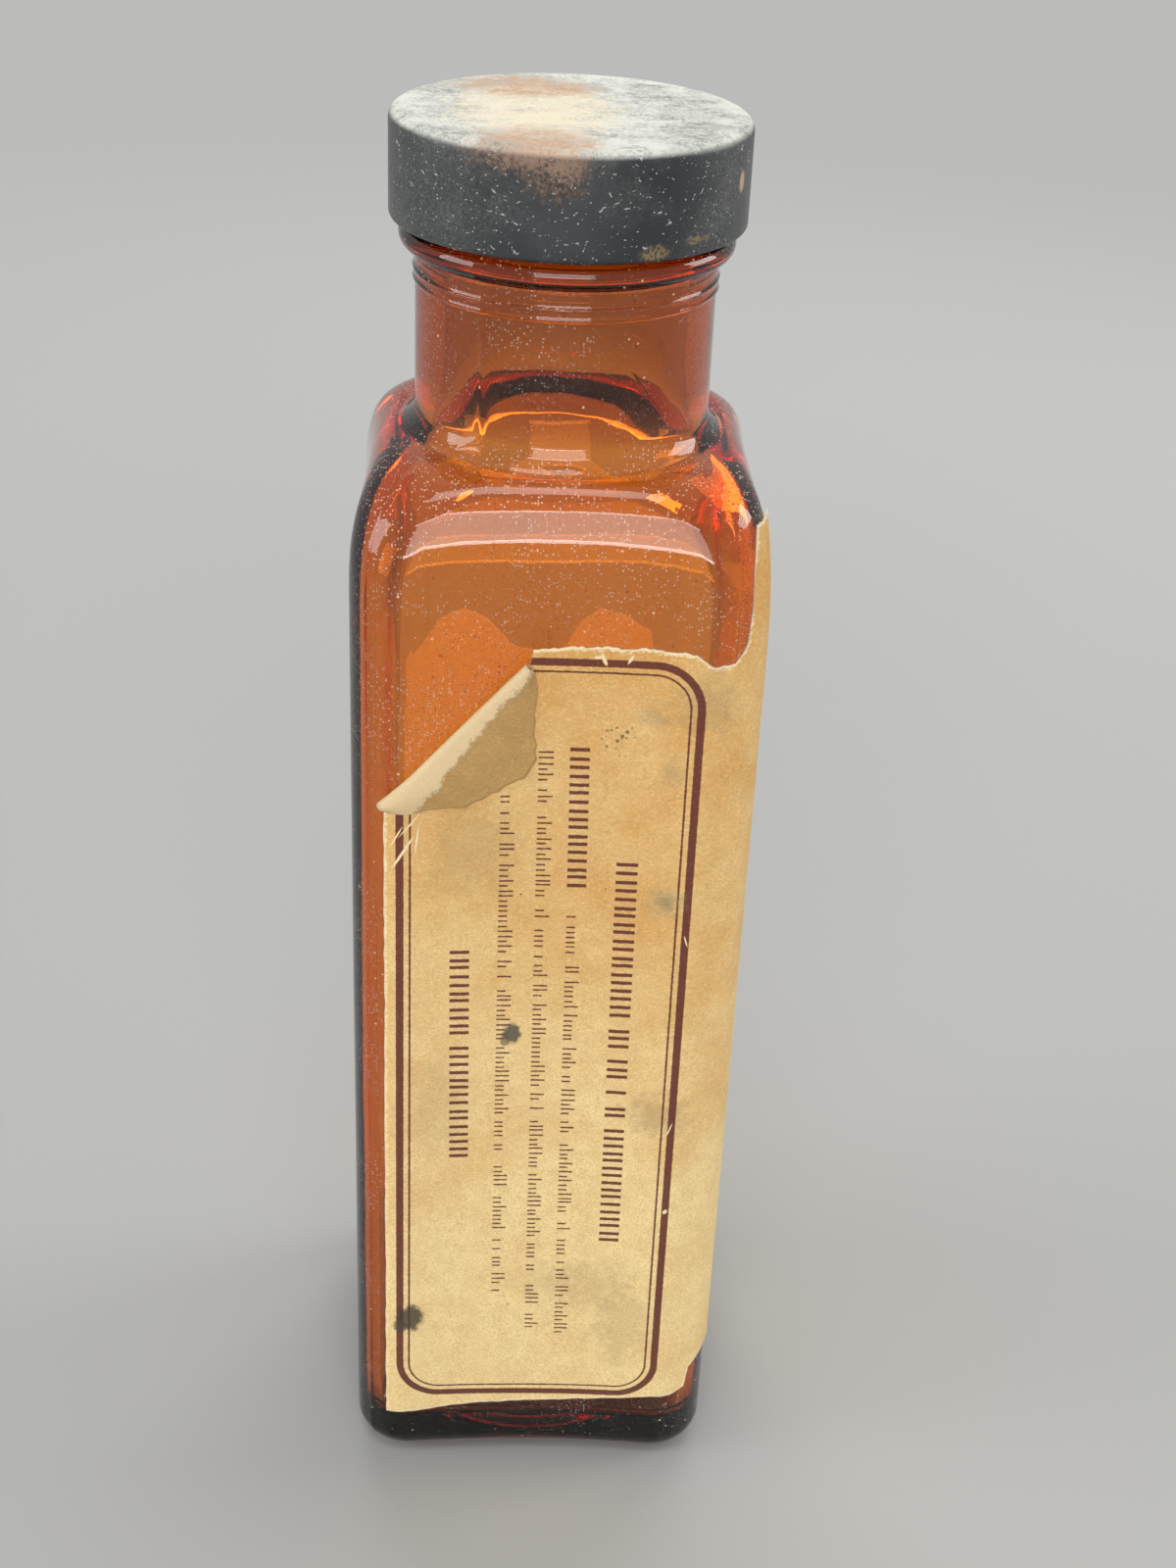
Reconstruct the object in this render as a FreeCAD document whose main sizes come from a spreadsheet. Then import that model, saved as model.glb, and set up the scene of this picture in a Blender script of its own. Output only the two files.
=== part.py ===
import FreeCAD, Part

import math
import os
import re

import Sketcher

# A square amber glass medicine bottle with a round neck, its smooth moulded screw cap, the cap's
# pulp liner and a torn paper label that wraps three of the four panels.
# Millimetres. The origin is under the middle of the base, +Z runs up through the neck, and the
# panel that carries the printed border faces -Y.

doc = FreeCAD.newDocument("medicine_bottle")

# Driving dimensions

SIZES = [
    ("body_width", 48.0, "across the flats, square in plan"),
    ("corner_radius", 7.0, "upright corners of the body"),
    ("panel_sink", 0.8, "how far the middle of each panel sinks behind its corners"),
    ("wall", 2.8, "glass in the body walls"),
    ("base_glass", 4.5, "glass in the base"),
    ("heel_radius", 4.0, "round of the outside bottom edge"),
    ("inner_heel", 2.4, "slope inside the bottom edge"),
    ("push_up_radius", 13.0, "flat top of the hollow under the base"),
    ("push_up_depth", 1.2, "height of that hollow"),
    ("push_up_slope", 2.4, "how far its side spreads over twice that height"),
    ("shoulder_start", 127.0, "top of the straight walls"),
    ("shoulder_lead", 6.0, "straight stretch below it that belongs to the shoulder's own surface"),
    ("shoulder_rise", 16.4, "straight walls to the crown of the shoulder"),
    ("shoulder_rounding", 7.0, "gain in corner radius over the shoulder"),
    ("shoulder_flat", 64.0, "angle up the shoulder at which its sides are neither hollow nor full"),
    ("neck_radius", 17.2, "outside of the round neck"),
    ("bore_radius", 14.0, "inside of the neck"),
    ("flare_radius", 4.0, "hollow curve between the neck and the shoulder"),
    ("flare_top", 146.35, "where the neck turns upright"),
    ("flare_turn", 60.0, "angle that the hollow curve turns through before it meets the shoulder"),
    ("round_split", 0.3, "offset of the corner arcs' centres where the plan is all but round"),
    ("ring_height", 160.8, "middle of the mould's parting ring on the neck"),
    ("ring_stand", 0.3, "how far that ring stands out"),
    ("ring_width", 1.3, "height of the ring"),
    ("ring_slope", 0.15, "height of the ring's sloping edges"),
    ("bead_height", 165.2, "middle of the bead under the cap"),
    ("bead_radius", 19.1, "outside of the bead"),
    ("bead_round", 1.45, "radius of the bead's own section"),
    ("bead_hollow", 1.2, "radius of the hollow under the bead"),
    ("finish_radius", 17.5, "outside of the finish between the thread ridges"),
    ("mouth_radius", 13.0, "bore at the lip"),
    ("lip_bevel", 0.8, "bevel of the lip's edges"),
    ("cap_radius", 20.2, "outside of the cap"),
    ("cap_height", 11.8, "skirt's rim to the cap's top"),
    ("cap_inside", 18.95, "bore of the cap between its thread ridges"),
    ("cap_crown", 1.6, "thickness of the cap's top"),
    ("cap_top_round", 1.3, "round of the cap's top edge"),
    ("cap_rim_bevel", 0.6, "bevel of the cap's lower edge"),
    ("cap_gap", 0.4, "air between the bead and the cap's rim"),
    ("liner_radius", 18.6, "pulp disc in the cap"),
    ("liner_thickness", 1.0, "pulp disc in the cap"),
    ("paper", 0.2, "label and the paste that stiffens it"),
    ("paste", 0.1, "between the label and the glass"),
    ("label_base", 7.8, "lowest corner of the label"),
    ("label_top", 139.4, "tip of the tongue that stands off the shoulder"),
    ("label_left", 19.8, "upright label edges, from the middle of their panels"),
    ("side_reach", 30.0, "how deep the tear on the right panel is cut"),
    ("fold_stand", 0.55, "how far the folded corner stands off the label"),
    ("fold_roll", 0.38, "radius of the rolled crease"),
]

sizes = doc.addObject("Spreadsheet::Sheet", "sizes")
for row, (alias, value, meaning) in enumerate(SIZES, start=1):
    sizes.set(f"A{row}", alias)
    sizes.set(f"B{row}", str(value))
    sizes.set(f"C{row}", meaning)
    sizes.setAlias(f"B{row}", alias)
doc.recompute()

# heights that follow from those: the cap's rim and top, and the bottle's lip

RIM = "(bead_height + bead_round + cap_gap)"
CAP_TOP = f"({RIM} + cap_height)"
LIP = f"({CAP_TOP} - cap_crown - liner_thickness)"

ALIAS = re.compile(r"\b(" + "|".join(alias for alias, _, _ in SIZES) + r")\b")


def bound(text):
    """The expression in the form that FreeCAD binds: each alias with the sheet's name."""
    return ALIAS.sub(r"sizes.\1", text)


def value_of(text):
    """What the expression comes to now, as a plain number."""
    found = sizes.evalExpression(bound(text))
    return float(getattr(found, "Value", found))


# Sketches and features

def new_body(label):
    return doc.addObject("PartDesign::Body", label)


def new_sketch(body, name, plane, offset=None):
    """A sketch on one of the body's own origin planes, moved along that plane's normal."""
    sketch = body.newObject("Sketcher::SketchObject", name)
    origin_plane = next(item for item in body.Origin.OriginFeatures if item.Role == plane)
    sketch.AttachmentSupport = (origin_plane, [""])
    sketch.MapMode = "FlatFace"
    if offset is not None:
        sketch.setExpression("AttachmentOffset.Base.z", bound(offset))
    return sketch


def hold(sketch, kind, *where, to):
    """A dimension that follows the sheet."""
    index = sketch.addConstraint(Sketcher.Constraint(kind, *where, value_of(to)))
    sketch.setExpression(f"Constraints[{index}]", bound(to))


def hold_point(sketch, geometry, end, across, up):
    """Ties a point to the sketch's axes, at two distances from the sheet."""
    if abs(value_of(across)) < 1e-9:
        sketch.addConstraint(Sketcher.Constraint("PointOnObject", geometry, end, -2))
    else:
        hold(sketch, "DistanceX", -1, 1, geometry, end, to=across)
    if abs(value_of(up)) < 1e-9:
        sketch.addConstraint(Sketcher.Constraint("PointOnObject", geometry, end, -1))
    else:
        hold(sketch, "DistanceY", -1, 1, geometry, end, to=up)


def draw_outline(sketch, corners):
    """A closed outline. Each corner is (across, up), and a third entry is the radius of the arc
    that leads to it from the corner before: positive turns left, negative turns right."""
    points = [
        FreeCAD.Vector(value_of(corner[0]), value_of(corner[1]), 0) for corner in corners
    ]
    ends = []
    for index, corner in enumerate(corners):
        start, finish = points[index - 1], points[index]
        if len(corner) == 2:
            geometry = sketch.addGeometry(Part.LineSegment(start, finish), False)
            ends.append((geometry, 1, 2))
            continue
        radius = value_of(corner[2])
        chord = finish - start
        left = FreeCAD.Vector(-chord.y, chord.x, 0).normalize()
        reach = math.sqrt(max(radius * radius - (chord.Length / 2) ** 2, 0))
        side = 1 if radius > 0 else -1
        centre = (start + finish) * 0.5 + left * (side * reach)
        middle = centre - left * (side * abs(radius))
        geometry = sketch.addGeometry(Part.ArcOfCircle(start, middle, finish), False)
        ends.append((geometry, 1, 2) if side > 0 else (geometry, 2, 1))
    for index, corner in enumerate(corners):
        before = ends[index]
        after = ends[(index + 1) % len(ends)]
        sketch.addConstraint(
            Sketcher.Constraint("Coincident", before[0], before[2], after[0], after[1])
        )
        hold_point(sketch, before[0], before[2], corner[0], corner[1])
        if len(corner) == 3:
            hold(sketch, "Radius", before[0], to=corner[2].lstrip("-"))


def draw_rounded_square(sketch, half, corner, sink):
    """Four corner arcs joined by four long arcs, tangent to them. Where sink is positive, the
    middle of each side lies that far inside the corners' reach, and where it is negative, outside."""
    reach = f"(({half}) - ({corner}))"
    depth = value_of(sink)
    hollow = depth > 0
    lean = f"({reach}^2 + ({sink})^2) / (2 * abs({sink}))"
    side_radius = f"{lean} - ({corner})" if hollow else f"{lean} + ({corner})"
    centre = value_of(reach)
    small, large = value_of(corner), value_of(side_radius)
    side_centre = value_of(half) - depth + (large if hollow else -large)
    # the top side's arc has its centre on the upright axis; its right end touches the corner arc
    axis_point = FreeCAD.Vector(0, side_centre, 0)
    corner_point = FreeCAD.Vector(centre, centre, 0)
    touch = axis_point + (corner_point - axis_point).normalize() * large
    mirrored = FreeCAD.Vector(touch.y, touch.x, 0)
    bulge = corner_point + FreeCAD.Vector(1, 1, 0).normalize() * small
    corners, sides = [], []
    for quarter in range(4):
        turn = FreeCAD.Rotation(FreeCAD.Vector(0, 0, 1), 90 * quarter)
        corners.append(
            sketch.addGeometry(
                Part.ArcOfCircle(
                    turn.multVec(mirrored), turn.multVec(bulge), turn.multVec(touch)
                ),
                False,
            )
        )
        far_end = FreeCAD.Vector(-touch.x, touch.y, 0)
        middle = FreeCAD.Vector(0, value_of(half) - depth, 0)
        sides.append(
            sketch.addGeometry(
                Part.ArcOfCircle(
                    turn.multVec(touch), turn.multVec(middle), turn.multVec(far_end)
                ),
                False,
            )
        )
    near, far = (2, 1) if hollow else (1, 2)
    for quarter in range(4):
        following = (quarter + 1) % 4
        sketch.addConstraint(
            Sketcher.Constraint("Tangent", corners[quarter], 2, sides[quarter], near)
        )
        sketch.addConstraint(
            Sketcher.Constraint("Tangent", sides[quarter], far, corners[following], 1)
        )
    for other in corners[1:]:
        sketch.addConstraint(Sketcher.Constraint("Equal", corners[0], other))
    for other in sides[1:]:
        sketch.addConstraint(Sketcher.Constraint("Equal", sides[0], other))
    sketch.addConstraint(
        Sketcher.Constraint("Symmetric", corners[0], 3, corners[1], 3, -2)
    )
    sketch.addConstraint(
        Sketcher.Constraint("Symmetric", corners[0], 3, corners[2], 3, -1, 1)
    )
    sketch.addConstraint(
        Sketcher.Constraint("Symmetric", corners[0], 3, corners[3], 3, -1)
    )
    hold_point(sketch, corners[0], 3, reach, reach)
    hold(sketch, "Radius", corners[0], to=corner)
    hold(sketch, "Radius", sides[0], to=side_radius)


def extrude(body, kind, name, sketch, length):
    """A Pad grows along the sketch's normal, and a Pocket cuts against it."""
    feature = body.newObject(f"PartDesign::{kind}", name)
    feature.Profile = (sketch, [""])
    feature.setExpression("Length", bound(length))
    return feature


def turn_about_neck(body, kind, name, sketch):
    """A Revolution or a Groove, all the way round the neck's axis."""
    feature = body.newObject(f"PartDesign::{kind}", name)
    feature.Profile = (sketch, [""])
    feature.ReferenceAxis = (sketch, ["V_Axis"])
    feature.Angle = 360
    return feature


def loft_through(body, kind, name, sections):
    feature = body.newObject(f"PartDesign::{kind}", name)
    feature.Profile = (sections[0], [""])
    feature.Sections = [(section, [""]) for section in sections[1:]]
    feature.Ruled = False
    return feature


def ease_edges(body, kind, name, base, height, size):
    """A Fillet or a Chamfer on the edges of base that lie flat at that height."""
    doc.recompute()
    level = value_of(height)
    flat = [
        f"Edge{index}"
        for index, edge in enumerate(base.Shape.Edges, start=1)
        if abs(edge.BoundBox.ZMin - level) < 1e-4 and abs(edge.BoundBox.ZMax - level) < 1e-4
    ]
    feature = body.newObject(f"PartDesign::{kind}", name)
    feature.Base = (base, flat)
    feature.setExpression("Radius" if kind == "Fillet" else "Size", bound(size))
    return feature


# The glass bottle: blown in one piece, square in the body and round in the neck

def shoulder_sections(body, name, half_at_start, half_at_crown, rise, corner, rounding, angles):
    """Level sections up the cushion shoulder. The angle runs from 0, at the straight walls, to
    90, at the crown, and the upright curve is squarer than an ellipse."""
    sections = []
    for index, angle in enumerate(angles):
        height = f"shoulder_start + {rise} * sin({angle})^(2 / 3)"
        sketch = new_sketch(body, f"{name}_{index}", "XY_Plane", height)
        half = f"{half_at_crown} + ({half_at_start} - {half_at_crown}) * cos({angle})"
        fullness = f"{corner} + {rounding} * (1 - cos({angle}))"
        sink = f"panel_sink * (1 - {angle} / shoulder_flat) * cos({angle})"
        draw_rounded_square(sketch, half, fullness, sink)
        sections.append(sketch)
    return sections


def make_bottle():
    body = new_body("glass_bottle")

    plan = new_sketch(body, "body_plan", "XY_Plane")
    draw_rounded_square(plan, "body_width / 2", "corner_radius", "panel_sink")
    walls = extrude(body, "Pad", "straight_walls", plan, "shoulder_start - shoulder_lead")
    ease_edges(body, "Fillet", "heel", walls, "0", "heel_radius")

    leads = []
    for part_way in (1, 0.5):
        height = f"shoulder_start - {part_way} * shoulder_lead"
        lead = new_sketch(body, f"shoulder_lead_{len(leads)}", "XY_Plane", height)
        draw_rounded_square(lead, "body_width / 2", "corner_radius", "panel_sink")
        leads.append(lead)
    outer = shoulder_sections(
        body, "shoulder", "body_width / 2", "neck_radius", "shoulder_rise",
        "corner_radius", "shoulder_rounding", (0, 4, 10, 20, 32, 45, 60, 75, 84),
    )
    loft_through(body, "AdditiveLoft", "shoulder", leads + outer)

    # the hollow curve up from the shoulder, the neck, its parting ring, the bead and the finish
    # that the cap screws on, as half a section

    foot_height = "flare_top - flare_radius * sin(flare_turn)"
    foot_radius = "neck_radius + flare_radius * (1 - cos(flare_turn))"
    neck = new_sketch(body, "neck_section", "XZ_Plane")
    draw_outline(neck, [
        ("0", "shoulder_start"),
        ("neck_radius", "shoulder_start"),
        ("neck_radius", f"{foot_height} - flare_radius"),
        (foot_radius, foot_height),
        ("neck_radius", "flare_top", "-flare_radius"),
        ("neck_radius", "ring_height - ring_width / 2"),
        ("neck_radius + ring_stand", "ring_height - ring_width / 2 + ring_slope"),
        ("neck_radius + ring_stand", "ring_height + ring_width / 2 - ring_slope"),
        ("neck_radius + ring_stand / 3", "ring_height + ring_width / 2"),
        ("neck_radius + ring_stand / 3", "bead_height - bead_round - ring_stand"),
        ("bead_radius - bead_round", "bead_height - bead_round", "-bead_hollow"),
        ("bead_radius - bead_round", "bead_height + bead_round", "bead_round"),
        ("finish_radius", "bead_height + bead_round"),
        ("finish_radius", f"{LIP} - lip_bevel"),
        ("finish_radius - lip_bevel", LIP),
        ("0", LIP),
    ])
    turn_about_neck(body, "Revolution", "neck_and_finish", neck)

    hollow = new_sketch(body, "push_up_section", "XZ_Plane")
    draw_outline(hollow, [
        ("0", "-push_up_depth"),
        ("push_up_radius + push_up_slope", "-push_up_depth"),
        ("push_up_radius", "push_up_depth"),
        ("0", "push_up_depth"),
    ])
    turn_about_neck(body, "Groove", "push_up", hollow)

    inside = new_sketch(body, "cavity_plan", "XY_Plane", "shoulder_start")
    draw_rounded_square(inside, "body_width / 2 - wall", "corner_radius - wall", "panel_sink")
    cavity = extrude(body, "Pocket", "cavity", inside, "shoulder_start - base_glass")
    ease_edges(body, "Chamfer", "inner_heel", cavity, "base_glass", "inner_heel")

    inner = shoulder_sections(
        body, "inner_shoulder", "(body_width / 2 - wall)", "bore_radius",
        "(shoulder_rise - wall)", "(corner_radius - wall)",
        "(bore_radius - corner_radius + wall - round_split)", (0, 4, 12, 24, 36, 48, 60, 72, 84, 89),
    )
    loft_through(body, "SubtractiveLoft", "inner_shoulder", inner)

    bore = new_sketch(body, "bore_section", "XZ_Plane")
    draw_outline(bore, [
        ("0", "shoulder_start + shoulder_rise - wall - 1"),
        ("bore_radius", "shoulder_start + shoulder_rise - wall - 1"),
        ("bore_radius", "bead_height - 2"),
        ("mouth_radius", "bead_height + 2"),
        ("mouth_radius", f"{LIP} - lip_bevel"),
        ("mouth_radius + lip_bevel", LIP),
        ("mouth_radius + lip_bevel", f"{LIP} + lip_bevel"),
        ("0", f"{LIP} + lip_bevel"),
    ])
    turn_about_neck(body, "Groove", "bore", bore)
    return body


# The cap: moulded phenolic, smooth outside, with a pulp disc pressed in under its crown

def make_cap():
    body = new_body("screw_cap")
    section = new_sketch(body, "cap_section", "XZ_Plane")
    draw_outline(section, [
        ("0", f"{CAP_TOP} - cap_crown"),
        ("cap_inside", f"{CAP_TOP} - cap_crown"),
        ("cap_inside", RIM),
        ("cap_radius - cap_rim_bevel", RIM),
        ("cap_radius", f"{RIM} + cap_rim_bevel"),
        ("cap_radius", f"{CAP_TOP} - cap_top_round"),
        ("cap_radius - cap_top_round", CAP_TOP, "cap_top_round"),
        ("0", CAP_TOP),
    ])
    turn_about_neck(body, "Revolution", "cap", section)
    return body


def make_liner():
    body = new_body("cap_liner")
    section = new_sketch(body, "liner_section", "XZ_Plane")
    draw_outline(section, [
        ("0", LIP),
        ("liner_radius", LIP),
        ("liner_radius", f"{LIP} + liner_thickness"),
        ("0", f"{LIP} + liner_thickness"),
    ])
    turn_about_neck(body, "Revolution", "liner", section)
    return body


# The label: one sheet pasted round the front, right and back panels, torn along its top and at
# its lower right corner, with its upper left corner folded down over the front

FRONT_TEAR = [
    (-21.0, 104.0), (-19.8, 104.6), (-3.2, 123.0), (-2.8, 124.0), (3.2, 124.8), (12.0, 124.8),
    (15.6, 124.1), (17.7, 123.2), (20.0, 122.9), (21.3, 125.2), (21.8, 129.7), (21.9, 134.5),
    (22.4, 139.4),
]
LOWER_TEAR = [
    (-21.0, 7.7), (-9.0, 9.4), (7.9, 10.4), (19.3, 11.6), (21.0, 12.3), (21.4, 15.6),
    (23.6, 17.6), (25.0, 17.9),
]
SIDE_TEAR = [
    (-17.5, 139.4), (-13.0, 136.8), (-8.0, 131.0), (-2.0, 127.8), (5.0, 123.6), (11.0, 115.4),
    (17.0, 103.6), (21.0, 98.6), (25.0, 97.8),
]
BACK_TEAR = [
    (25.0, 98.0), (16.5, 98.6), (14.2, 101.4), (13.6, 105.6), (10.6, 108.2), (7.3, 109.1),
    (4.6, 107.2), (2.6, 103.4), (-1.1, 102.4), (-5.0, 103.8), (-7.7, 107.2), (-11.2, 108.6),
    (-14.4, 107.0), (-16.8, 102.6), (-21.0, 100.2),
]
FOLDED_CORNER = [
    (-19.8, 104.6), (-14.4, 104.4), (-10.2, 104.8), (-3.4, 108.8), (-2.1, 111.3), (-2.6, 114.5),
    (-2.8, 121.8), (-3.2, 123.0),
]


def crease_outline():
    """A narrow band inside the fold, which is the line from the folded corner's first point to
    its last."""
    (left, low), (right, high) = FOLDED_CORNER[0], FOLDED_CORNER[-1]
    length = math.hypot(right - left, high - low)
    across = 2 * value_of("fold_roll") * (high - low) / length
    down = 2 * value_of("fold_roll") * (left - right) / length
    band = [
        (left, low), (left + across, low + down), (right + across, high + down), (right, high)
    ]
    return [(str(x), str(z)) for x, z in band]


def tear_outline(points, beyond):
    """The tear's points, closed through two corners that lie beyond the sheet."""
    corners = [(str(across), str(up)) for across, up in points]
    corners.append((str(points[-1][0]), str(beyond)))
    corners.append((str(points[0][0]), str(beyond)))
    if points[0][0] > points[-1][0]:
        corners.reverse()
    return corners


def make_label():
    body = new_body("wrap_label")
    outer = new_sketch(body, "sheet_outside", "XY_Plane", "label_base")
    draw_rounded_square(
        outer, "body_width / 2 + paste + paper", "corner_radius + paste + paper", "panel_sink"
    )
    extrude(body, "Pad", "sheet", outer, "label_top - label_base")

    beyond = value_of("label_top") + 5
    cuts = [
        ("front_tear", "XZ_Plane", "body_width", "body_width", FRONT_TEAR, beyond),
        ("lower_tear", "XZ_Plane", "body_width", "body_width", LOWER_TEAR, 0),
        ("back_tear", "XZ_Plane", "0", "body_width", BACK_TEAR, beyond),
        ("side_tear", "YZ_Plane", "body_width", "side_reach", SIDE_TEAR, beyond),
    ]
    for name, plane, offset, length, points, limit in cuts:
        sketch = new_sketch(body, f"{name}_line", plane, offset)
        draw_outline(sketch, tear_outline(points, limit))
        extrude(body, "Pocket", name, sketch, length)

    # the folded corner lies off the sheet, and a crease along the fold joins the two
    fold_plane = "body_width / 2 + fold_stand"
    crease = new_sketch(body, "crease_line", "XZ_Plane", fold_plane)
    draw_outline(crease, crease_outline())
    joint = extrude(body, "Pad", "crease", crease, "3 * fold_stand")
    joint.Reversed = True
    flap = new_sketch(body, "folded_corner_line", "XZ_Plane", fold_plane)
    draw_outline(flap, [(str(across), str(up)) for across, up in FOLDED_CORNER])
    extrude(body, "Pad", "folded_corner", flap, "paper")

    # what is left is hollowed to the glass, and the bare panel's side is opened
    inner = new_sketch(body, "sheet_inside", "XY_Plane", "label_top + 1")
    draw_rounded_square(
        inner, "body_width / 2 + paste", "corner_radius + paste", "panel_sink"
    )
    extrude(body, "Pocket", "glass_side", inner, "label_top + 1")
    open_side = new_sketch(body, "bare_panel", "XY_Plane", "label_top + 1")
    draw_outline(open_side, [
        ("-body_width", "-body_width"),
        ("-label_left", "-body_width"),
        ("-label_left", "body_width"),
        ("-body_width", "body_width"),
    ])
    extrude(body, "Pocket", "bare_side", open_side, "label_top + 1")
    return body


def check(item):
    """Stops the build at a failed feature or a shape that isn't one sound solid."""
    for feature in doc.Objects:
        if "Invalid" in feature.State or "Error" in feature.State:
            raise RuntimeError(f"{feature.Name} failed: {feature.State}")
    shape = item.Shape
    if shape.isNull() or not shape.isValid() or len(shape.Solids) != 1:
        raise RuntimeError(f"{item.Label} isn't one sound solid")


parts = [make_bottle(), make_cap(), make_liner(), make_label()]
doc.recompute()
os.makedirs("parts", exist_ok=True)
for part in parts:
    check(part)
    part.Shape.exportStep(f"parts/{part.Label}.step")
    print(part.Label, round(part.Shape.Volume / 1000, 2), "cm3", part.Shape.BoundBox)
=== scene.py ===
import math

import bmesh
import bpy
from mathutils import Matrix, Vector, noise


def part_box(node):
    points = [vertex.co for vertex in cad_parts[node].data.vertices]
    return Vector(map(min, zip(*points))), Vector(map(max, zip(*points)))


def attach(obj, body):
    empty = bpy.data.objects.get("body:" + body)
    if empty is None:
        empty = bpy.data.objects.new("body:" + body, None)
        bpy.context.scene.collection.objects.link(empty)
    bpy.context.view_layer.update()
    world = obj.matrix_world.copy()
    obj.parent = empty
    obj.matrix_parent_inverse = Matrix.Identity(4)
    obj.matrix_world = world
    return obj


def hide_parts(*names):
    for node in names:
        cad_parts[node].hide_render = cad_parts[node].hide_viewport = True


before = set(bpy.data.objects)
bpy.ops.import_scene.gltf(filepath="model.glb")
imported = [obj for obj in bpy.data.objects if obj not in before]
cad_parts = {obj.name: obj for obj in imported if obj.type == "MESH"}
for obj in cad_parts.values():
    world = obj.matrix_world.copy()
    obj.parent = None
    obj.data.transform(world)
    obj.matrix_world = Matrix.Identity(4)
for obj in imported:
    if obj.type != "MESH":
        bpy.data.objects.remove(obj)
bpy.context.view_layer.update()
bpy.context.scene.view_settings.view_transform = "Standard"
MM = 0.001


# Camera
# It looks down on the bottle from close by, a little left of its middle and turned a touch, with
# its place and lens found from the outlines of the cap, neck, body and label.

camera_yaw = math.radians(2.96)
camera_pitch = math.radians(29.0)
camera_roll = math.radians(-2.677)
camera_reach = 283.177 * MM
camera_target = Vector((5.202, 0, 94.033)) * MM
focal_pixels = 2245.04
picture_height_pixels = 1600
sensor_mm = 36

forward = Vector((
    math.sin(camera_yaw) * math.cos(camera_pitch),
    math.cos(camera_yaw) * math.cos(camera_pitch),
    -math.sin(camera_pitch),
))
level_right = Vector((math.cos(camera_yaw), -math.sin(camera_yaw), 0))
level_down = forward.cross(level_right)
right = math.cos(camera_roll) * level_right + math.sin(camera_roll) * level_down
down = math.cos(camera_roll) * level_down - math.sin(camera_roll) * level_right

camera_data = bpy.data.cameras.new("camera")
camera_data.sensor_width = sensor_mm
camera_data.lens = focal_pixels * sensor_mm / picture_height_pixels
camera_data.clip_start = 0.01
camera = bpy.data.objects.new("camera", camera_data)
bpy.context.scene.collection.objects.link(camera)
camera.matrix_world = (
    Matrix.Translation(camera_target - forward * camera_reach)
    @ Matrix((right, -down, -forward)).transposed().to_4x4()
)
bpy.context.scene.camera = camera


# Glass bottle
# Amber soda-lime glass, blown in a two-part mould: square, with sides that sink a little between
# round corners, a cushion shoulder, a round neck with a parting ring, a bead and a screw finish.

body_half = 24.0 * MM
corner_radius = 7.0 * MM
panel_sink = 0.8 * MM
wall = 2.8 * MM
base_glass = 4.5 * MM
heel_radius = 4.0 * MM
inner_heel_radius = 3.2 * MM
push_up_radius = 13.0 * MM
push_up_depth = 1.2 * MM
shoulder_start = 127.0 * MM
shoulder_rise = 16.4 * MM
shoulder_rounding = 7.0 * MM
shoulder_flat_angle = 64.0
neck_radius = 17.2 * MM
bore_radius = 14.0 * MM
flare_radius = 4.0 * MM
flare_top = 146.35 * MM
flare_turn = 60.0
ring_height = 160.8 * MM
ring_stand = 0.3 * MM
bead_height = 165.2 * MM
bead_radius = 19.1 * MM
bead_round = 1.45 * MM
finish_radius = 17.5 * MM
mouth_radius = 13.0 * MM
lip_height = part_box("glass_bottle")[1].z
lip_round = 0.8 * MM
thread_pitch = 4.233 * MM
thread_stand = 1.1 * MM
thread_foot = 169.0 * MM
thread_turns = 1.15
thread_run_out = 0.06
thread_half_width = 0.8 * MM
outer_wave = 0.06 * MM
outer_wave_reach = Vector((16, 16, 30)) * MM
inner_wave = 0.34 * MM
inner_wave_reach = Vector((9, 9, 42)) * MM

# how far along a corner's arc its points lie, closest beside the mould's seam in the middle
corner_shares = (0, 0.08, 0.17, 0.26, 0.35, 0.43, 0.48, 0.5, 0.52, 0.57, 0.65, 0.74, 0.83, 0.92, 1)
side_points = 9
seam_place = corner_shares.index(0.5)
seam_stand = 0.08 * MM
seam_turn = math.radians(12)


def square_ring(half, corner, sink, height, shares=corner_shares):
    """A level section: four corner arcs, and between them four long arcs that are tangent to them
    and lie that far inside the corners' reach, or outside it where sink is negative."""
    sink = sink if abs(sink) > 1e-6 else 1e-6
    reach = half - corner
    lean = (reach**2 + sink**2) / (2 * abs(sink))
    side_radius = lean - corner if sink > 0 else lean + corner
    side_centre = half - sink + math.copysign(side_radius, sink)
    aim = Vector((reach, reach - side_centre)).normalized()
    touch = Vector((0, side_centre)) + aim * side_radius
    far_angle = math.atan2(touch.y - reach, touch.x - reach)
    near_angle = math.pi / 2 - far_angle
    quarter = []
    for share in shares:
        angle = near_angle + (far_angle - near_angle) * share
        quarter.append((reach + corner * math.cos(angle), reach + corner * math.sin(angle)))
    for step in range(1, side_points + 1):
        across = touch.x * (1 - 2 * step / (side_points + 1))
        rise = math.sqrt(side_radius**2 - across**2)
        quarter.append((across, side_centre - math.copysign(rise, sink)))
    ring = []
    for turn in range(4):
        spin = Matrix.Rotation(turn * math.pi / 2, 2)
        ring += [(spin @ Vector(place)).to_3d() + Vector((0, 0, height)) for place in quarter]
    return ring


def shoulder_ring(angle, half_foot, half_crown, rise, corner, rounding):
    """A section of the cushion shoulder, from 0 degrees at the walls to 90 at the crown."""
    turn = math.radians(angle)
    return square_ring(
        half_crown + (half_foot - half_crown) * math.cos(turn),
        corner + rounding * (1 - math.cos(turn)),
        panel_sink * (1 - angle / shoulder_flat_angle) * math.cos(turn),
        shoulder_start + rise * math.sin(turn) ** (2 / 3),
    )


def outer_shoulder(angle):
    return shoulder_ring(
        angle, body_half, neck_radius, shoulder_rise, corner_radius, shoulder_rounding
    )


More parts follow.
